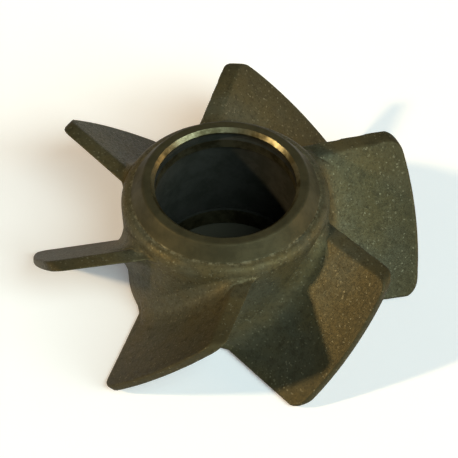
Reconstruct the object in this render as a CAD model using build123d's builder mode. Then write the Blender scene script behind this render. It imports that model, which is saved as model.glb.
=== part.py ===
"""Axial-flow pump impeller: one sand casting with six pitched blades and a turned bore.

Frame: +Z runs up the bore from the hub's foot to the rim round the bore's mouth. The hub's foot lies on z = 0,
the origin is the centre of that foot, and the first blade points along +X. Lengths are in millimetres and
angles in degrees.
"""
import os
from math import cos, radians, sin, tan

from build123d import *

# Hub: outline from the bore outwards and from the rim down
hub_length = 40.0
bore_radius = 20.0
rim_wall = 3.5
rim_round = 0.8
collar_flare = 3.2
collar_height = 4.7
shoulder_width = 2.8
shoulder_height = 3.4
hub_draft = 1.6
foot_bevel = 0.6

# Bore: what is turned in it
mouth_chamfer = 1.1
foot_chamfer = 0.6
groove_lip = 0.5
groove_width = 2.6
groove_depth = 1.0
upper_land_length = 3.0
lower_land_length = 6.0
relief_depth = 0.8

# Blades: flat plates that thin towards the lower edge and the tip, pitched from the horizontal
blade_count = 6
tip_radius = 55.0
blade_pitch = 43.8
blade_top_gap = 7.2
blade_foot_gap = 0.9
top_thickness = 3.5
bottom_thickness = 2.5
tip_thinning = 0.4
root_bevel = 1.3
blade_stock = 8.0

# Envelope that trims every blade
top_edge_slope = 3.0
top_corner_round = 3.0
foot_corner_round = 2.9

# Places worked out from the values above
rim_radius = bore_radius + rim_wall
collar_radius = rim_radius + collar_flare
body_radius = collar_radius + shoulder_width
foot_radius = body_radius - hub_draft
collar_foot = hub_length - collar_height
body_top = collar_foot - shoulder_height
groove_foot = hub_length - mouth_chamfer - groove_lip - groove_width
relief_top = groove_foot - upper_land_length
blade_top = hub_length - blade_top_gap
blade_foot = blade_foot_gap
blade_chord = (blade_top - blade_foot) / sin(radians(blade_pitch))
pitched_plane = Plane(
    origin=(0, 0, (blade_top + blade_foot) / 2),
    x_dir=(0, cos(radians(blade_pitch)), sin(radians(blade_pitch))),
    z_dir=(1, 0, 0),
)


def body_radius_at(height):
    """Give the radius of the hub's drafted body at a height above its foot."""
    return foot_radius + hub_draft * height / body_top


def blade_face(side):
    """Give the plane of a blade's upper face (side 1) or under face (side -1)."""
    outward = pitched_plane.y_dir * side
    half_thickness = (top_thickness + bottom_thickness) / 4
    chord_taper = (top_thickness - bottom_thickness) / 2 / blade_chord
    tip_taper = tip_thinning / 2 / (tip_radius - foot_radius)
    at_root = pitched_plane.origin + pitched_plane.z_dir * foot_radius
    return Plane(
        at_root + outward * half_thickness,
        z_dir=outward - pitched_plane.x_dir * chord_taper + pitched_plane.z_dir * tip_taper,
    )


# One plate, from the axis to past the tip
with BuildPart() as plate:
    with BuildSketch(pitched_plane):
        Rectangle(blade_chord + blade_stock, blade_stock)
    extrude(amount=tip_radius + blade_stock)
    split(bisect_by=blade_face(1), keep=Keep.BOTTOM)
    split(bisect_by=blade_face(-1), keep=Keep.BOTTOM)
    split(bisect_by=Plane.XY.offset(blade_top), keep=Keep.BOTTOM)
    split(bisect_by=Plane.XY.offset(blade_foot), keep=Keep.TOP)

# All the blades on the hub's body, bevelled at the root and trimmed to one envelope
with BuildPart() as blades:
    with BuildSketch(Plane.XZ):
        with BuildLine():
            Polyline(
                (0, blade_foot),
                (body_radius_at(blade_foot), blade_foot),
                (body_radius_at(blade_top), blade_top),
                (0, blade_top),
                close=True,
            )
        make_face()
    revolve(axis=Axis.Z)
    with PolarLocations(0, blade_count):
        add(plate.part)
    chamfer(blades.edges(Select.NEW), root_bevel)
    with BuildSketch(Plane.XZ) as envelope:
        with BuildLine():
            Polyline(
                (0, blade_foot),
                (tip_radius, blade_foot),
                (tip_radius, blade_top),
                (0, blade_top - tip_radius * tan(radians(top_edge_slope))),
                close=True,
            )
        make_face()
        fillet(envelope.vertices().group_by(Axis.X)[-1].sort_by(Axis.Y)[-1], top_corner_round)
        fillet(envelope.vertices().group_by(Axis.X)[-1].sort_by(Axis.Y)[0], foot_corner_round)
    revolve(axis=Axis.Z, mode=Mode.INTERSECT)

# The hub with its blades, and the bore turned through it
with BuildPart() as impeller:
    with BuildSketch(Plane.XZ) as hub_profile:
        with BuildLine():
            body = Line((foot_radius, 0), (body_radius, body_top))
            shoulder = TangentArc(body @ 1, (collar_radius, collar_foot), tangent=body % 1)
            Polyline(shoulder @ 1, (rim_radius, hub_length), (0, hub_length), (0, 0), body @ 0)
        make_face()
        fillet(hub_profile.vertices().group_by(Axis.Y)[-1].sort_by(Axis.X)[-1], rim_round)
        chamfer(hub_profile.vertices().group_by(Axis.Y)[0].sort_by(Axis.X)[-1], foot_bevel)
    revolve(axis=Axis.Z)
    add(blades.part)
    with Locations((0, 0, hub_length)):
        Hole(bore_radius)
    chamfer(impeller.faces().sort_by(Axis.Z)[-1].inner_wires().edges(), mouth_chamfer)
    chamfer(impeller.faces().sort_by(Axis.Z)[0].inner_wires().edges(), foot_chamfer)
    with BuildSketch(Plane.XZ):
        with Locations((0, groove_foot)):
            Rectangle(bore_radius + groove_depth, groove_width, align=Align.MIN)
        with Locations((0, lower_land_length)):
            Rectangle(bore_radius + relief_depth, relief_top - lower_land_length, align=Align.MIN)
    revolve(axis=Axis.Z, mode=Mode.SUBTRACT)

impeller.part.label = "impeller"
os.makedirs("parts", exist_ok=True)
export_step(impeller.part, "parts/impeller.step")
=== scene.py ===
"""Axial-flow pump impeller: one casting, sand-skinned, with a turned bore, rim and collar.

Every length is in metres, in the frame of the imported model: +Z runs up the bore, the origin is the centre of
the hub's foot, and the first blade points along +X.
"""
import logging
from dataclasses import dataclass, field
from enum import Enum
from math import atan2, cos, hypot, pi, radians, sin, tan

import bmesh
import bpy
from mathutils import Matrix, Vector


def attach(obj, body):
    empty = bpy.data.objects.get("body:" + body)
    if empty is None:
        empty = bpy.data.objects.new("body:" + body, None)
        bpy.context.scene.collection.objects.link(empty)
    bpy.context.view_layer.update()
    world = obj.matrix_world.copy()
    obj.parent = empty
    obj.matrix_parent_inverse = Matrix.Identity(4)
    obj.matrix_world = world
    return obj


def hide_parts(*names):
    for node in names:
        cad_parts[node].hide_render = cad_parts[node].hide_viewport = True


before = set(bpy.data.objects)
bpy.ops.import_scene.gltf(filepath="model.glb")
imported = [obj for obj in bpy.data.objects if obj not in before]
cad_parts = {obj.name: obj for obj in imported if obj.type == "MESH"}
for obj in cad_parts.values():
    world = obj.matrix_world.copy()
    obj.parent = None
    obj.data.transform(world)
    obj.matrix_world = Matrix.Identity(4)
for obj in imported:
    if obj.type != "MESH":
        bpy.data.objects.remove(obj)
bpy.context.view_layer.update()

LOG = logging.getLogger("impeller")
BODY = "root"
CAD_NODE = "impeller"

Colour = tuple[float, float, float]
Pair = tuple[float, float]
WHITE = (1.0, 1.0, 1.0, 1.0)
RIDGE = (0.0267, 0.0353)  # radius and height of the edge between the collar and the cast skin, in metres
MERGE = 1e-6  # corners that are closer than this are one, in metres


class Band(Enum):
    """The bands that are turned on the casting, from the collar to the foot, and the cast skin round them."""

    CAST = "cast"
    COLLAR = "collar"
    RIM = "rim"
    MOUTH = "mouth"
    GROOVE = "groove"
    LAND = "land"
    RELIEF = "relief"


def linear(colour: Colour) -> tuple[float, float, float, float]:
    """Turn a display colour into a linear one.

    Args:
        colour: Red, green and blue from 0 to 1, as a screen shows them.

    Returns:
        The linear colour, with alpha 1.
    """
    values = [c / 12.92 if c <= 0.04045 else ((c + 0.055) / 1.055) ** 2.4 for c in colour]
    return values[0], values[1], values[2], 1.0


class NodePen:
    """Adds nodes to a shader tree and links them, so that a finish reads as one list of steps."""

    def __init__(self, tree: bpy.types.NodeTree) -> None:
        """Keep the tree that the nodes go into.

        Args:
            tree: A material's or the world's node tree.
        """
        self.tree = tree

    def add(self, kind: str, label: str, **settings: object) -> bpy.types.Node:
        """Add one node.

        Args:
            kind: The node's type name.
            label: What the node is for.
            settings: Properties of the node, by name.

        Returns:
            The new node.
        """
        node = self.tree.nodes.new(kind)
        node.label = label
        for name, value in settings.items():
            setattr(node, name, value)
        return node

    def link(self, source: bpy.types.NodeSocket, target: bpy.types.NodeSocket) -> None:
        """Link an output to an input."""
        self.tree.links.new(source, target)

    def place(self) -> bpy.types.NodeSocket:
        """Give the point on the object, in metres, as the textures read it."""
        return self.add("ShaderNodeTexCoord", "place on the part").outputs["Object"]

    def radius(self, where: bpy.types.NodeSocket) -> bpy.types.NodeSocket:
        """Give the distance from the axis.

        Args:
            where: Object coordinates.

        Returns:
            The distance, in metres.
        """
        flat = self.add("ShaderNodeVectorMath", "across the axis", operation="MULTIPLY")
        self.link(where, flat.inputs[0])
        flat.inputs[1].default_value = (1.0, 1.0, 0.0)
        length = self.add("ShaderNodeVectorMath", "distance from the axis", operation="LENGTH")
        self.link(flat.outputs[0], length.inputs[0])
        return length.outputs["Value"]

    def noise(
        self, where: bpy.types.NodeSocket, label: str, size: float, detail: float, roughness: float = 0.5
    ) -> bpy.types.NodeSocket:
        """Add a noise of a given size.

        Args:
            where: The point that it is read at.
            label: What the noise is for.
            size: About how wide one lump is, in metres.
            detail: How many finer layers it has.
            roughness: How strong the finer layers are.

        Returns:
            The noise from 0 to 1.
        """
        node = self.add("ShaderNodeTexNoise", label)
        node.inputs["Scale"].default_value = 1.0 / size
        node.inputs["Detail"].default_value = detail
        node.inputs["Roughness"].default_value = roughness
        self.link(where, node.inputs["Vector"])
        return node.outputs["Fac"]

    def ring(
        self, where: bpy.types.NodeSocket, label: str, circle: Pair, reach: Pair
    ) -> bpy.types.NodeSocket:
        """Mark what lies near a circle round the axis.

        Args:
            where: Object coordinates.
            label: What the circle is.
            circle: The circle's radius and height.
            reach: Distances from the circle at which the mark is full and gone.

        Returns:
            1 on the circle, and 0 away from it.
        """
        radius, height = circle
        parts = self.add("ShaderNodeSeparateXYZ", f"{label}, height")
        self.link(where, parts.inputs[0])
        joined = self.add("ShaderNodeCombineXYZ", f"{label}, section")
        self.link(self.math("SUBTRACT", f"{label}, out", self.radius(where), radius), joined.inputs["X"])
        self.link(self.math("SUBTRACT", f"{label}, up", parts.outputs["Z"], height), joined.inputs["Y"])
        gap = self.add("ShaderNodeVectorMath", f"{label}, distance", operation="LENGTH")
        self.link(joined.outputs[0], gap.inputs[0])
        return self.span(gap.outputs["Value"], label, *reach, 1.0, 0.0)

    def span(
        self, value: bpy.types.NodeSocket, label: str, start: float, end: float, low: float, high: float
    ) -> bpy.types.NodeSocket:
        """Map a value from one span to another, held at its ends.

        Args:
            value: The value to map.
            label: What the result is for.
            start: Where the span that is read starts.
            end: Where it ends.
            low: The result at the start.
            high: The result at the end.

        Returns:
            The mapped value.
        """
        node = self.add("ShaderNodeMapRange", label)
        node.inputs["From Min"].default_value = start
        node.inputs["From Max"].default_value = end
        node.inputs["To Min"].default_value = low
        node.inputs["To Max"].default_value = high
        self.link(value, node.inputs["Value"])
        return node.outputs["Result"]

    def math(
        self, operation: str, label: str, first: bpy.types.NodeSocket, second: bpy.types.NodeSocket | float
    ) -> bpy.types.NodeSocket:
        """Do one sum on two values.

        Args:
            operation: The sum, such as ADD or MULTIPLY.
            label: What the result is for.
            first: The first value.
            second: The second value, or a number.

        Returns:
            The result.
        """
        node = self.add("ShaderNodeMath", label, operation=operation)
        self.link(first, node.inputs[0])
        if isinstance(second, (int, float)):
            node.inputs[1].default_value = second
        else:
            self.link(second, node.inputs[1])
        return node.outputs[0]

    def blend(
        self,
        amount: bpy.types.NodeSocket,
        label: str,
        first: bpy.types.NodeSocket | Colour,
        second: bpy.types.NodeSocket | Colour,
    ) -> bpy.types.NodeSocket:
        """Blend two colours.

        Args:
            amount: How much of the second colour shows.
            label: What the result is for.
            first: The first colour, as a socket or as it looks on a screen.
            second: The second colour, in the same form.

        Returns:
            The blended colour.
        """
        node = self.add("ShaderNodeMix", label, data_type="RGBA")
        self.link(amount, node.inputs["Factor"])
        for source, target in ((first, node.inputs[6]), (second, node.inputs[7])):
            if isinstance(source, tuple):
                target.default_value = linear(source)
            else:
                self.link(source, target)
        return node.outputs[2]

    def bump(
        self,
        height: bpy.types.NodeSocket,
        label: str,
        depth: float,
        strength: float,
        under: bpy.types.NodeSocket | None = None,
    ) -> bpy.types.NodeSocket:
        """Raise a relief on the surface.

        Args:
            height: The relief, from 0 to 1.
            label: What the relief is.
            depth: How high 1 stands, in metres.
            strength: How strongly it shows.
            under: The normal that it stands on, if not the surface's own.

        Returns:
            The new normal.
        """
        node = self.add("ShaderNodeBump", label)
        node.inputs["Distance"].default_value = depth
        node.inputs["Strength"].default_value = strength
        self.link(height, node.inputs["Height"])
        if under is not None:
            self.link(under, node.inputs["Normal"])
        return node.outputs["Normal"]


@dataclass(frozen=True)
class RidgeHighlight:
    """A painted highlight along the collar's lower edge, broken into specks: a bright colour laid into the
    finish where the edge catches the light.
    """

    circle: Pair = RIDGE
    reach: Pair = (0.0001, 0.0007)
    speck_size: float = 0.0016
    speck_edges: Pair = (0.46, 0.62)
    speck_cover: float = 0.65
    painted_highlight: Colour = (0.50, 0.48, 0.38)

    def wear(
        self, pen: NodePen, where: bpy.types.NodeSocket, body: bpy.types.NodeSocket
    ) -> bpy.types.NodeSocket:
        """Lay the painted highlight over a finish.

        Args:
            pen: The tree that the nodes go into.
            where: Object coordinates.
            body: The finish's colour.

        Returns:
            The colour with the painted highlight on it.
        """
        # painted highlight: a bright ring where the collar's edge catches the light, broken into specks
        ridge = pen.ring(where, "painted ridge highlight", self.circle, self.reach)
        specks = pen.noise(where, "highlight specks", self.speck_size, detail=4.0, roughness=0.7)
        speckled = pen.span(specks, "speckled highlight", *self.speck_edges, 0.0, self.speck_cover)
        worn = pen.math("MULTIPLY", "highlight in specks", ridge, speckled)
        return pen.blend(worn, "ridge highlight painted on", body, self.painted_highlight)


@dataclass(frozen=True)
class CastBronze:
    """Sand-cast bronze: olive brown, mottled, with a fine grain whose facets catch the light, and glints
    painted into the grain's colour.
    """

    warm: Colour = (0.325, 0.295, 0.198)
    cool: Colour = (0.30, 0.295, 0.232)
    shade: Colour = (0.20, 0.185, 0.13)
    # colour of the painted glints on the grain
    bright: Colour = (0.50, 0.48, 0.38)
    tips: Colour = (0.225, 0.205, 0.135)
    tip_band: Pair = (0.038, 0.053)
    tip_cover: float = 0.7
    patch: float = 0.016
    patch_edges: Pair = (0.38, 0.62)
    mottle: float = 0.0022
    pit_edges: Pair = (0.34, 0.50)
    pit_cover: float = 0.6
    grain: float = 0.00042
    glint_edges: Pair = (0.945, 1.0)
    glint_cover: float = 0.55
    dark_edges: Pair = (0.22, 0.0)
    dark_cover: float = 0.5
    # painted highlight along the collar's lower edge
    ridge: RidgeHighlight = RidgeHighlight()
    metallic: float = 0.35
    roughness: Pair = (0.46, 0.64)
    grain_depth: float = 0.00006
    grain_strength: float = 0.25
    lump_depth: float = 0.00012
    lump_strength: float = 0.3
    facet_tilt: float = 0.05
    edge_tint: Colour = (0.55, 0.50, 0.36)

    def material(self) -> bpy.types.Material:
        """Make the material.

        Returns:
            The finished material.
        """
        made = bpy.data.materials.new("cast_bronze_skin")
        made.use_nodes = True
        pen = NodePen(made.node_tree)
        shader = made.node_tree.nodes["Principled BSDF"]
        where = pen.place()
        patches = pen.noise(where, "patches", self.patch, detail=3.0)
        patchy = pen.span(patches, "patch edges", *self.patch_edges, 0.0, 1.0)
        body = pen.blend(patchy, "warm and cool metal", self.warm, self.cool)
        # darker towards the blade tips
        tip_darkening = pen.span(pen.radius(where), "darker towards the tips", *self.tip_band, 0.0, self.tip_cover)
        body = pen.blend(tip_darkening, "darker tips", body, self.tips)
        mottle = pen.noise(where, "mottle", self.mottle, detail=5.0, roughness=0.7)
        pits = pen.span(mottle, "dark pits", *self.pit_edges, self.pit_cover, 0.0)
        body = pen.blend(pits, "pitted metal", body, self.shade)
        cells = pen.add("ShaderNodeTexVoronoi", "sand grains")
        cells.inputs["Scale"].default_value = 1.0 / self.grain
        pen.link(where, cells.inputs["Vector"])
        split = pen.add("ShaderNodeSeparateColor", "one value a grain")
        pen.link(cells.outputs["Color"], split.inputs["Color"])
        # painted glints: a few grains take a bright colour, standing in for light caught by the sand's facets
        glints = pen.span(split.outputs["Red"], "painted glint grains", *self.glint_edges, 0.0, self.glint_cover)
        body = pen.blend(glints, "painted glints on the grains", body, self.bright)
        darks = pen.span(split.outputs["Green"], "dark grains", *self.dark_edges, 0.0, self.dark_cover)
        body = pen.blend(darks, "grains in shade", body, self.shade)
        # painted highlight along the collar's lower edge
        body = self.ridge.wear(pen, where, body)
        pen.link(body, shader.inputs["Base Color"])
        shader.inputs["Metallic"].default_value = self.metallic
        shader.inputs["Specular Tint"].default_value = linear(self.edge_tint)
        gloss = pen.span(split.outputs["Blue"], "grain gloss", 0.0, 1.0, *self.roughness)
        pen.link(gloss, shader.inputs["Roughness"])
        lumps = pen.bump(mottle, "lumps", self.lump_depth, self.lump_strength)
        relief = pen.bump(
            cells.outputs["Distance"], "grain relief", self.grain_depth, self.grain_strength, lumps
        )
        centred = pen.add("ShaderNodeVectorMath", "facet tilt about zero", operation="SUBTRACT")
        pen.link(cells.outputs["Color"], centred.inputs[0])
        centred.inputs[1].default_value = (0.5, 0.5, 0.5)
        tilt = pen.add("ShaderNodeVectorMath", "facet tilt", operation="SCALE")
        pen.link(centred.outputs[0], tilt.inputs[0])
        tilt.inputs["Scale"].default_value = self.facet_tilt
        turned = pen.add("ShaderNodeVectorMath", "tilted facets", operation="ADD")
        pen.link(relief, turned.inputs[0])
        pen.link(tilt.outputs[0], turned.inputs[1])
        unit = pen.add("ShaderNodeVectorMath", "facet normal", operation="NORMALIZE")
        pen.link(turned.outputs[0], unit.inputs[0])
        pen.link(unit.outputs[0], shader.inputs["Normal"])
        return made


@dataclass(frozen=True)
class TurnedBronze:
    """Bronze cut in the lathe: the tool's rings run round the bore."""

    name: str
    metal: Colour
    stain: Colour
    roughness: Pair
    metallic: float = 0.85
    edge_tint: Colour = (0.62, 0.58, 0.44)
    ring: float = 0.00022
    ring_depth: float = 0.00003
    ring_strength: float = 0.5
    ring_stretch: tuple[float, float, float] = (0.02, 0.02, 1.0)
    stain_size: float = 0.006
    stain_edges: Pair = (0.42, 0.60)
    gloss_edges: Pair = (0.35, 0.65)
    pit_size: float = 0.0008
    pit_depth: float = 0.00006
    pit_strength: float = 0.4
    # painted highlight along the collar's lower edge
    ridge: RidgeHighlight = RidgeHighlight(reach=(0.0001, 0.0006))

    def material(self) -> bpy.types.Material:
        """Make the material.

        Returns:
            The finished material.
        """
        made = bpy.data.materials.new(self.name)
        made.use_nodes = True
        pen = NodePen(made.node_tree)
        shader = made.node_tree.nodes["Principled BSDF"]
        where = pen.place()
        stains = pen.noise(where, "stains", self.stain_size, detail=6.0, roughness=0.65)
        cover = pen.span(stains, "stain edges", *self.stain_edges, 0.0, 1.0)
        body = pen.blend(cover, "stained metal", self.metal, self.stain)
        # painted highlight along the collar's lower edge
        body = self.ridge.wear(pen, where, body)
        pen.link(body, shader.inputs["Base Color"])
        shader.inputs["Metallic"].default_value = self.metallic
        shader.inputs["Specular Tint"].default_value = linear(self.edge_tint)
        gloss = pen.span(stains, "stained gloss", *self.gloss_edges, *self.roughness)
        pen.link(gloss, shader.inputs["Roughness"])
        along = pen.add("ShaderNodeVectorMath", "along the bore", operation="MULTIPLY")
        pen.link(where, along.inputs[0])
        along.inputs[1].default_value = self.ring_stretch
        rings = pen.noise(along.outputs[0], "tool rings", self.ring, detail=2.0)
        pits = pen.noise(where, "worn pits", self.pit_size, detail=4.0, roughness=0.7)
        worn = pen.bump(pits, "wear", self.pit_depth, self.pit_strength)
        relief = pen.bump(rings, "ring relief", self.ring_depth, self.ring_strength, worn)
        pen.link(relief, shader.inputs["Normal"])
        return made


class SkinTree:
    """Geometry Nodes that give the casting the uneven skin that the sand leaves."""

    def __init__(self, name: str = "sand_skin") -> None:
        """Build the tree.

        Args:
            name: The tree's name.
        """
        self.tree = bpy.data.node_groups.new(name, "GeometryNodeTree")
        self.sockets: dict[str, str] = {}
        self._face()
        self._wire()

    def _face(self) -> None:
        """Give the tree its named inputs and its output."""
        face = self.tree.interface
        face.new_socket("Geometry", in_out="INPUT", socket_type="NodeSocketGeometry")
        for label, kind, value in (
            ("Root Passes", "NodeSocketInt", 420),
            ("Root Blend", "NodeSocketFloat", 0.00025),
            ("Swell Depth", "NodeSocketFloat", 0.00010),
            ("Swell Size", "NodeSocketFloat", 0.009),
            ("Grain Depth", "NodeSocketFloat", 0.00004),
            ("Grain Size", "NodeSocketFloat", 0.0013),
            ("Inset", "NodeSocketFloat", 0.00006),
            ("Seed", "NodeSocketFloat", 7.0),
            ("Finish", "NodeSocketMaterial", None),
        ):
            socket = face.new_socket(label, in_out="INPUT", socket_type=kind)
            if value is not None:
                socket.default_value = value
            self.sockets[label] = socket.identifier
        face.new_socket("Geometry", in_out="OUTPUT", socket_type="NodeSocketGeometry")

    def _wire(self) -> None:
        """Link the nodes from the input to Set Material."""
        nodes, links = self.tree.nodes, self.tree.links
        entry = nodes.new("NodeGroupInput")
        leave = nodes.new("NodeGroupOutput")
        position = nodes.new("GeometryNodeInputPosition")
        normal = nodes.new("GeometryNodeInputNormal")
        filled = self._fill_roots(entry, position, normal)
        total = None
        for size, depth in (("Swell Size", "Swell Depth"), ("Grain Size", "Grain Depth")):
            rate = self._sum("DIVIDE", 1.0, entry.outputs[size])
            noise = nodes.new("ShaderNodeTexNoise")
            noise.noise_dimensions = "4D"
            noise.inputs["Detail"].default_value = 2.0
            links.new(position.outputs[0], noise.inputs["Vector"])
            links.new(entry.outputs["Seed"], noise.inputs["W"])
            links.new(rate, noise.inputs["Scale"])
            centred = self._sum("SUBTRACT", noise.outputs["Fac"], 0.5)
            height = self._sum("MULTIPLY", centred, entry.outputs[depth])
            total = height if total is None else self._sum("ADD", total, height)
        lowered = self._sum("SUBTRACT", total, entry.outputs["Inset"])
        step = nodes.new("ShaderNodeVectorMath")
        step.operation = "SCALE"
        links.new(normal.outputs[0], step.inputs[0])
        links.new(lowered, step.inputs["Scale"])
        move = nodes.new("GeometryNodeSetPosition")
        links.new(filled, move.inputs["Geometry"])
        links.new(step.outputs[0], move.inputs["Offset"])
        soft = nodes.new("GeometryNodeSetShadeSmooth")
        links.new(move.outputs["Geometry"], soft.inputs["Geometry"])
        real = nodes.new("GeometryNodeRealizeInstances")
        links.new(soft.outputs["Geometry"], real.inputs["Geometry"])
        dress = nodes.new("GeometryNodeSetMaterial")
        links.new(real.outputs["Geometry"], dress.inputs["Geometry"])
        links.new(entry.outputs["Finish"], dress.inputs["Material"])
        links.new(dress.outputs["Geometry"], leave.inputs["Geometry"])

    def _fill_roots(
        self, entry: bpy.types.Node, position: bpy.types.Node, normal: bpy.types.Node
    ) -> bpy.types.NodeSocket:
        """Draw the skin across its hollows, so that the blades run into the hub in soft fillets.

        Args:
            entry: The tree's input.
            position: The point on the skin.
            normal: The skin's normal.

        Returns:
            The skin with its hollows filled and the rest left where it was.
        """
        nodes, links = self.tree.nodes, self.tree.links
        blur = nodes.new("GeometryNodeBlurAttribute")
        blur.data_type = "FLOAT_VECTOR"
        value = next(i for i in blur.inputs if i.enabled and i.type == "VECTOR")
        links.new(position.outputs[0], value)
        links.new(entry.outputs["Root Passes"], blur.inputs["Iterations"])
        shift = nodes.new("ShaderNodeVectorMath")
        shift.operation = "SUBTRACT"
        links.new(next(o for o in blur.outputs if o.enabled), shift.inputs[0])
        links.new(position.outputs[0], shift.inputs[1])
        rise = nodes.new("ShaderNodeVectorMath")
        rise.operation = "DOT_PRODUCT"
        links.new(shift.outputs[0], rise.inputs[0])
        links.new(normal.outputs[0], rise.inputs[1])
        hollow = nodes.new("ShaderNodeMapRange")
        hollow.interpolation_type = "SMOOTHSTEP"
        links.new(rise.outputs["Value"], hollow.inputs["Value"])
        links.new(entry.outputs["Root Blend"], hollow.inputs["From Max"])
        part = nodes.new("ShaderNodeVectorMath")
        part.operation = "SCALE"
        links.new(shift.outputs[0], part.inputs[0])
        links.new(hollow.outputs["Result"], part.inputs["Scale"])
        fill = nodes.new("GeometryNodeSetPosition")
        links.new(entry.outputs["Geometry"], fill.inputs["Geometry"])
        links.new(part.outputs[0], fill.inputs["Offset"])
        return fill.outputs["Geometry"]

    def _sum(
        self, operation: str, first: bpy.types.NodeSocket | float, second: bpy.types.NodeSocket | float
    ) -> bpy.types.NodeSocket:
        """Do one sum on two values, each a socket or a number.

        Args:
            operation: The sum, such as ADD or MULTIPLY.
            first: The first value.
            second: The second value.

        Returns:
            The result.
        """
        node = self.tree.nodes.new("ShaderNodeMath")
        node.operation = operation
        for value, socket in ((first, node.inputs[0]), (second, node.inputs[1])):
            if isinstance(value, (int, float)):
                socket.default_value = value
            else:
                self.tree.links.new(value, socket)
        return node.outputs[0]


@dataclass
class ImpellerCasting:
    """The whole casting: its skin follows the solid, and the bore is cut in it afterwards."""

    voxel: float = 0.00032
    edge_wear: int = 4
    smoothing: float = 0.5
    edge_round: float = 0.00060
    edge_steps: int = 3
    most_triangles: int = 176000
    sharp_angle: float = radians(30)
    flat_angle: float = radians(0.5)
    plug_radius: float = 0.0216
    hub_length: float = 0.040
    bore_radius: float = 0.020
    mouth_chamfer: float = 0.0011
    groove_top: float = 0.0384
    groove_foot: float = 0.0358
    groove_radius: float = 0.0210
    land_foot: float = 0.0328
    relief_radius: float = 0.0208
    lower_land_top: float = 0.0060
    foot_chamfer: float = 0.0006
    rim_radius: float = 0.0235
    rim_round: float = 0.0008
    collar_radius: float = RIDGE[0]
    collar_foot: float = RIDGE[1]
    skim: float = 0.00004
    turns: int = 256
    overrun: float = 0.002
    clear_width: float = 0.006
    rim_steps: int = 6
    level_from: float = 0.97
    inward_from: float = 0.3
    crease_below: float = 0.9
    slack: float = 1e-5
    skin: CastBronze = field(default_factory=CastBronze)
    bright: TurnedBronze = field(
        default_factory=lambda: TurnedBronze(
            "turned_bronze_bright", (0.44, 0.42, 0.32), (0.26, 0.24, 0.16), (0.32, 0.50)
        )
    )
    # the groove and the relieved bore: a rougher, duller turned finish, darkened further as painted shade for
    # the recesses
    dull_and_shaded: TurnedBronze = field(
        default_factory=lambda: TurnedBronze(
            "turned_bronze_dull", (0.20, 0.20, 0.18), (0.155, 0.16, 0.14), (0.60, 0.75), metallic=0.2
        )
    )
    worn: TurnedBronze = field(
        default_factory=lambda: TurnedBronze(
            "turned_bronze_worn",
            (0.25, 0.235, 0.165),
            (0.21, 0.20, 0.14),
            (0.48, 0.60),
            metallic=0.35,
            ring_depth=0.00001,
        )
    )

    def build(self) -> bpy.types.Object:
        """Build the casting and attach it to its body.

        Returns:
            The finished piece.
        """
        skin = self.skin.material()
        blank = self._blank()
        self._remesh(blank)
        self._sand_skin(blank, skin)
        self._turn(blank)
        self._dress(blank, skin)
        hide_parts(CAD_NODE)
        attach(blank, BODY)
        return blank

    def _blank(self) -> bpy.types.Object:
        """Copy the solid's mesh and stop its bore with a plug.

        Returns:
            A new object, not yet on a body.
        """
        form = bmesh.new()
        form.from_mesh(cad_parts[CAD_NODE].data)
        bmesh.ops.remove_doubles(form, verts=form.verts[:], dist=MERGE)
        self._round_edges(form)
        bmesh.ops.create_cone(
            form,
            cap_ends=True,
            segments=self.turns,
            radius1=self.plug_radius,
            radius2=self.plug_radius,
            depth=self.hub_length,
            matrix=Matrix.Translation((0, 0, self.hub_length / 2)),
        )
        mesh = bpy.data.meshes.new("impeller_casting")
        form.to_mesh(mesh)
        form.free()
        blank = bpy.data.objects.new("impeller_casting", mesh)
        bpy.context.scene.collection.objects.link(blank)
        return blank

    def _round_edges(self, form: bmesh.types.BMesh) -> None:
        """Round the blades' sharp edges, as the sand leaves them.

        Args:
            form: The copy of the solid's mesh.
        """
        bmesh.ops.dissolve_degenerate(form, dist=MERGE, edges=form.edges[:])
        bmesh.ops.dissolve_limit(form, angle_limit=self.flat_angle, verts=form.verts[:], edges=form.edges[:])
        sharp = [
            edge
            for edge in form.edges
            if edge.is_manifold
            and edge.is_convex
            and edge.calc_face_angle(0.0) > self.sharp_angle
            and min(hypot(v.co.x, v.co.y) for v in edge.verts) > self.collar_radius
        ]
        bmesh.ops.bevel(
            form,
            geom=sharp,
            offset=self.edge_round,
            offset_type="OFFSET",
            segments=self.edge_steps,
            profile=0.5,
            affect="EDGES",
        )

    def _remesh(self, blank: bpy.types.Object) -> None:
        """Cover the blank with one even skin.

        Args:
            blank: The plugged copy of the solid.
        """
        cover = blank.modifiers.new("cover", "REMESH")
        cover.mode = "VOXEL"
        cover.voxel_size = self.voxel
        cover.use_smooth_shade = True
        worn = blank.modifiers.new("worn_edges", "SMOOTH")
        worn.factor = self.smoothing
        worn.iterations = self.edge_wear
        self._bake(blank)

    def _sand_skin(self, blank: bpy.types.Object, skin: bpy.types.Material) -> None:
        """Give the skin the unevenness of a sand mould.

        Args:
            blank: The evenly meshed blank.
            skin: The cast skin's material.
        """
        tree = SkinTree()
        modifier = blank.modifiers.new("sand_skin", "NODES")
        modifier.node_group = tree.tree
        modifier[tree.sockets["Finish"]] = skin
        self._bake(blank)
        thinner = blank.modifiers.new("thinner", "DECIMATE")
        thinner.ratio = self.most_triangles / sum(len(face.vertices) - 2 for face in blank.data.polygons)
        self._bake(blank)

    def _bake(self, blank: bpy.types.Object) -> None:
        """Turn the modifiers' result into the object's own mesh and take the modifiers off.

        Args:
            blank: The object to bake.
        """
        bpy.context.view_layer.update()
        evaluated = blank.evaluated_get(bpy.context.evaluated_depsgraph_get())
        baked = bpy.data.meshes.new_from_object(evaluated)
        blank.modifiers.clear()
        old = blank.data
        blank.data = baked
        bpy.data.meshes.remove(old)
        baked.name = blank.name

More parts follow.
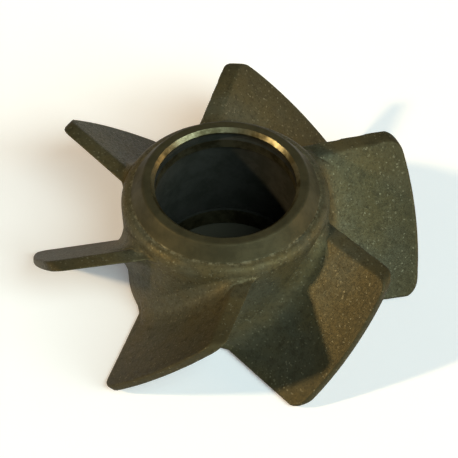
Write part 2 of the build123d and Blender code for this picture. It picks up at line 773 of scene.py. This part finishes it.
    def _collar_line(self) -> list[Pair]:
        """Give the turned outline from the rim's flat to the collar's foot, with the rim's edge rounded.

        Returns:
            Radius and height of each corner.
        """
        top = self.hub_length - self.skim
        slope = atan2(self.collar_radius - self.rim_radius, self.hub_length - self.collar_foot)
        reach = self.rim_round * tan((pi / 2 - slope) / 2)
        centre = (self.rim_radius - self.skim - reach, top - self.rim_round)
        steps = [pi / 2 - k / self.rim_steps * (pi / 2 - slope) for k in range(self.rim_steps + 1)]
        line = [(centre[0] + self.rim_round * cos(a), centre[1] + self.rim_round * sin(a)) for a in steps]
        return line + [(self.collar_radius - self.skim, self.collar_foot)]

    def _turned_line(self) -> list[Pair]:
        """Give the outline of all that the lathe takes away, from below the foot to outside the collar.

        Returns:
            Radius and height of each corner.
        """
        bore, top = self.bore_radius, self.hub_length - self.skim
        return [
            (bore + self.foot_chamfer + self.overrun, -self.overrun),
            (bore, self.foot_chamfer),
            (bore, self.lower_land_top),
            (self.relief_radius, self.lower_land_top),
            (self.relief_radius, self.land_foot),
            (bore, self.land_foot),
            (bore, self.groove_foot),
            (self.groove_radius, self.groove_foot),
            (self.groove_radius, self.groove_top),
            (bore, self.groove_top),
            (bore, top - self.mouth_chamfer),
            (bore + self.mouth_chamfer, top),
            *self._collar_line(),
            (self.collar_radius + self.clear_width, self.collar_foot),
            (self.collar_radius + self.clear_width, top + self.overrun),
        ]

    def _turn(self, blank: bpy.types.Object) -> None:
        """Turn the bore, the rim and the collar on the blank.

        Args:
            blank: The skinned blank.
        """
        form = bmesh.new()
        rings = []
        steps = [2 * pi * k / self.turns for k in range(self.turns)]
        for radius, height in self._turned_line():
            rings.append([form.verts.new((radius * cos(a), radius * sin(a), height)) for a in steps])
        for low, high in zip(rings, rings[1:]):
            for k in range(self.turns):
                n = (k + 1) % self.turns
                form.faces.new((low[k], low[n], high[n], high[k]))
        form.faces.new(rings[-1])
        form.faces.new(rings[0][::-1])
        bmesh.ops.recalc_face_normals(form, faces=form.faces[:])
        mesh = bpy.data.meshes.new("lathe_cut")
        form.to_mesh(mesh)
        form.free()
        cutter = bpy.data.objects.new("lathe_cut", mesh)
        bpy.context.scene.collection.objects.link(cutter)
        cut = blank.modifiers.new("turned", "BOOLEAN")
        cut.operation = "DIFFERENCE"
        cut.object = cutter
        cut.solver = "MANIFOLD"
        self._bake(blank)
        bpy.data.objects.remove(cutter)
        bpy.data.meshes.remove(mesh)

    def _band(self, centre: Vector, normal: Vector) -> Band:
        """Tell which band a face belongs to.

        Args:
            centre: The face's centre.
            normal: The face's normal.

        Returns:
            The band, or CAST if the face is on the skin.
        """
        radius = hypot(centre.x, centre.y)
        inward = -(centre.x * normal.x + centre.y * normal.y) / max(radius, self.slack)
        if radius > self.bore_radius + self.mouth_chamfer:
            if centre.z < self.collar_foot or radius > self.collar_radius:
                return Band.CAST
            return Band.RIM if normal.z > self.level_from else Band.COLLAR
        if centre.z > self.groove_top + self.slack:
            return Band.MOUTH if inward > self.inward_from else Band.CAST
        if centre.z > self.groove_foot - self.slack:
            return Band.GROOVE
        if centre.z > self.land_foot + self.slack:
            return Band.LAND
        if centre.z > self.lower_land_top - self.slack:
            return Band.RELIEF
        return Band.LAND if inward > self.inward_from else Band.CAST

    def _dress(self, blank: bpy.types.Object, skin: bpy.types.Material) -> None:
        """Give each band its finish, and keep the edges between bands crisp.

        Args:
            blank: The bored casting.
            skin: The cast skin's material.
        """
        mesh = blank.data
        mesh.materials.clear()
        for material in (skin, self.bright.material(), self.dull_and_shaded.material(), self.worn.material()):
            mesh.materials.append(material)
        index = {
            Band.CAST: 0,
            Band.MOUTH: 1,
            Band.LAND: 1,
            # the groove and the relieved bore take the dull finish with its painted shade
            Band.GROOVE: 2,
            Band.RELIEF: 2,
            Band.RIM: 3,
            Band.COLLAR: 3,
        }
        form = bmesh.new()
        form.from_mesh(mesh)
        bands = {}
        for face in form.faces:
            bands[face.index] = self._band(face.calc_center_median(), face.normal)
            face.material_index = index[bands[face.index]]
            face.smooth = True
        for edge in form.edges:
            near = edge.link_faces
            if len(near) == 2 and any(bands[f.index] is not Band.CAST for f in near):
                edge.smooth = near[0].normal.dot(near[1].normal) > self.crease_below
        form.to_mesh(mesh)
        form.free()


@dataclass(frozen=True)
class Lamp:
    """One distant lamp: the way to it from the part, its power, its width in degrees and its colour."""

    name: str
    towards: tuple[float, float, float]
    power: float
    angle: float
    colour: Colour
    standoff: float = 2.0

    def hang(self) -> None:
        """Put the lamp in the scene."""
        data = bpy.data.lights.new(self.name, "SUN")
        data.energy = self.power
        data.angle = radians(self.angle)
        data.color = linear(self.colour)[:3]
        lamp = bpy.data.objects.new(self.name, data)
        bpy.context.scene.collection.objects.link(lamp)
        way = Vector(self.towards)
        lamp.rotation_mode = "QUATERNION"
        lamp.rotation_quaternion = way.to_track_quat("Z", "Y")
        lamp.location = way.normalized() * self.standoff


@dataclass
class Studio:
    """The floor, the lamps and the surroundings."""

    floor_size: float = 6.0
    floor_colour: Colour = (0.965, 0.96, 0.95)
    floor_lift: float = 0.20
    floor_roughness: float = 0.9
    floor_drop: float = 0.00005
    # dark disc of painted shade on the floor under the bore, seen through it
    painted_shade_colour: Colour = (0.30, 0.29, 0.24)
    painted_shade_edge: Pair = (0.0215, 0.0225)
    lamps: tuple[Lamp, ...] = (
        Lamp("key", (-0.839, -0.101, 0.53), 2.15, 4.0, (1.0, 0.88, 0.70)),
        Lamp("front_high", (0.207, -0.636, 0.743), 1.70, 30.0, (0.87, 0.97, 1.0)),
        Lamp("front_cool", (0.612, -0.612, 0.5), 1.70, 30.0, (0.86, 0.94, 0.96)),
        Lamp("right_warm", (0.951, -0.168, 0.259), 1.00, 35.0, (1.0, 0.80, 0.52)),
        Lamp("back_soft", (0.0, 0.866, 0.5), 0.09, 40.0, (1.0, 1.0, 0.9)),
    )
    sky_strength: float = 0.05
    horizon: Pair = (0.03, 0.10)

    def build(self) -> None:
        """Set up the floor, the lamps and the world."""
        self._floor()
        for lamp in self.lamps:
            lamp.hang()
        self._world()
        bpy.context.scene.view_settings.view_transform = "Standard"

    def _floor(self) -> None:
        """Lay a pale floor just under the part, with a dark disc of painted shade under the bore."""
        half = self.floor_size / 2
        corners = ((-half, -half), (half, -half), (half, half), (-half, half))
        mesh = bpy.data.meshes.new("floor")
        mesh.from_pydata([(x, y, -self.floor_drop) for x, y in corners], [], [(0, 1, 2, 3)])
        floor = bpy.data.objects.new("floor", mesh)
        bpy.context.scene.collection.objects.link(floor)
        material = bpy.data.materials.new("floor")
        material.use_nodes = True
        pen = NodePen(material.node_tree)
        shader = material.node_tree.nodes["Principled BSDF"]
        shader.inputs["Roughness"].default_value = self.floor_roughness
        shader.inputs["Specular IOR Level"].default_value = 0.0
        radius = pen.radius(pen.place())
        # painted shade: a dark disc under the bore, with the floor's lift held off there
        painted_shade = pen.span(radius, "painted shade under the bore", *self.painted_shade_edge, 1.0, 0.0)
        colour = pen.blend(painted_shade, "floor colour", self.floor_colour, self.painted_shade_colour)
        pen.link(colour, shader.inputs["Base Color"])
        open_floor = pen.span(radius, "open floor", *self.painted_shade_edge, 0.0, 1.0)
        lift = pen.math("MULTIPLY", "lift", self._sight(pen), self.floor_lift)
        shader.inputs["Emission Color"].default_value = WHITE
        lifted = pen.math("MULTIPLY", "lift on the open floor", lift, open_floor)
        pen.link(lifted, shader.inputs["Emission Strength"])
        mesh.materials.append(material)

    def _sight(self, pen: NodePen) -> bpy.types.NodeSocket:
        """Tell the rays that show the background from those that light the part.

        Args:
            pen: The tree that the nodes go into.

        Returns:
            1 for camera, glossy and transmission rays, and 0 for the rest.
        """
        ray = pen.add("ShaderNodeLightPath", "ray")
        camera, glossy = ray.outputs["Is Camera Ray"], ray.outputs["Is Glossy Ray"]
        seen = pen.math("MAXIMUM", "seen or mirrored", camera, glossy)
        return pen.math("MAXIMUM", "seen, mirrored or through", seen, ray.outputs["Is Transmission Ray"])

    def _world(self) -> None:
        """Light the part softly from all round, against a white background."""
        world = bpy.data.worlds.new("surroundings")
        bpy.context.scene.world = world
        world.use_nodes = True
        pen = NodePen(world.node_tree)
        world.node_tree.nodes.clear()
        light = pen.add("ShaderNodeBackground", "soft light")
        light.inputs["Color"].default_value = WHITE
        light.inputs["Strength"].default_value = self.sky_strength
        white = pen.add("ShaderNodeBackground", "white background")
        white.inputs["Color"].default_value = WHITE
        white.inputs["Strength"].default_value = 1.0
        way = pen.add("ShaderNodeSeparateXYZ", "direction")
        pen.link(pen.add("ShaderNodeTexCoord", "way out").outputs["Generated"], way.inputs[0])
        low = pen.span(way.outputs["Z"], "near the horizon", *self.horizon, 1.0, 0.0)
        ray = pen.add("ShaderNodeLightPath", "camera ray")
        mirrored = pen.math("MULTIPLY", "background near the horizon", self._sight(pen), low)
        choose = pen.add("ShaderNodeMixShader", "background or light")
        behind = pen.math("MAXIMUM", "white behind the part", mirrored, ray.outputs["Is Camera Ray"])
        pen.link(behind, choose.inputs[0])
        pen.link(light.outputs[0], choose.inputs[1])
        pen.link(white.outputs[0], choose.inputs[2])
        out = pen.add("ShaderNodeOutputWorld", "out")
        pen.link(choose.outputs[0], out.inputs["Surface"])


@dataclass
class Viewpoint:
    """Where the camera stands."""

    azimuth: float = 9.65
    elevation: float = 48.209
    roll: float = -0.332
    distance: float = 1.36597
    lens: float = 378.3
    sensor: float = 36.0
    clip: Pair = (0.05, 20.0)
    target: Vector = field(default_factory=lambda: Vector((0.000926, -0.000157, 0.020133)))

    def build(self) -> bpy.types.Object:
        """Make the camera and give it to the scene.

        Returns:
            The camera.
        """
        a, e, r = radians(self.azimuth), radians(self.elevation), radians(self.roll)
        back = Vector((-sin(a) * cos(e), -cos(a) * cos(e), sin(e)))
        level = Vector((cos(a), -sin(a), 0.0))
        rise = back.cross(level)
        right = level * cos(r) + rise * sin(r)
        up = rise * cos(r) - level * sin(r)
        data = bpy.data.cameras.new("camera")
        data.lens = self.lens
        data.sensor_width = self.sensor
        data.clip_start, data.clip_end = self.clip
        camera = bpy.data.objects.new("camera", data)
        bpy.context.scene.collection.objects.link(camera)
        turn = Matrix((right, up, back)).transposed().to_4x4()
        camera.matrix_world = Matrix.Translation(self.target + back * self.distance) @ turn
        bpy.context.scene.camera = camera
        return camera


def main() -> None:
    """Build the camera, the casting and the studio in order."""
    logging.basicConfig(level=logging.INFO, format="%(message)s")
    Viewpoint().build()
    casting = ImpellerCasting().build()
    LOG.info("impeller_casting: %d triangles", sum(len(p.vertices) - 2 for p in casting.data.polygons))
    Studio().build()


if __name__ == "__main__":
    main()
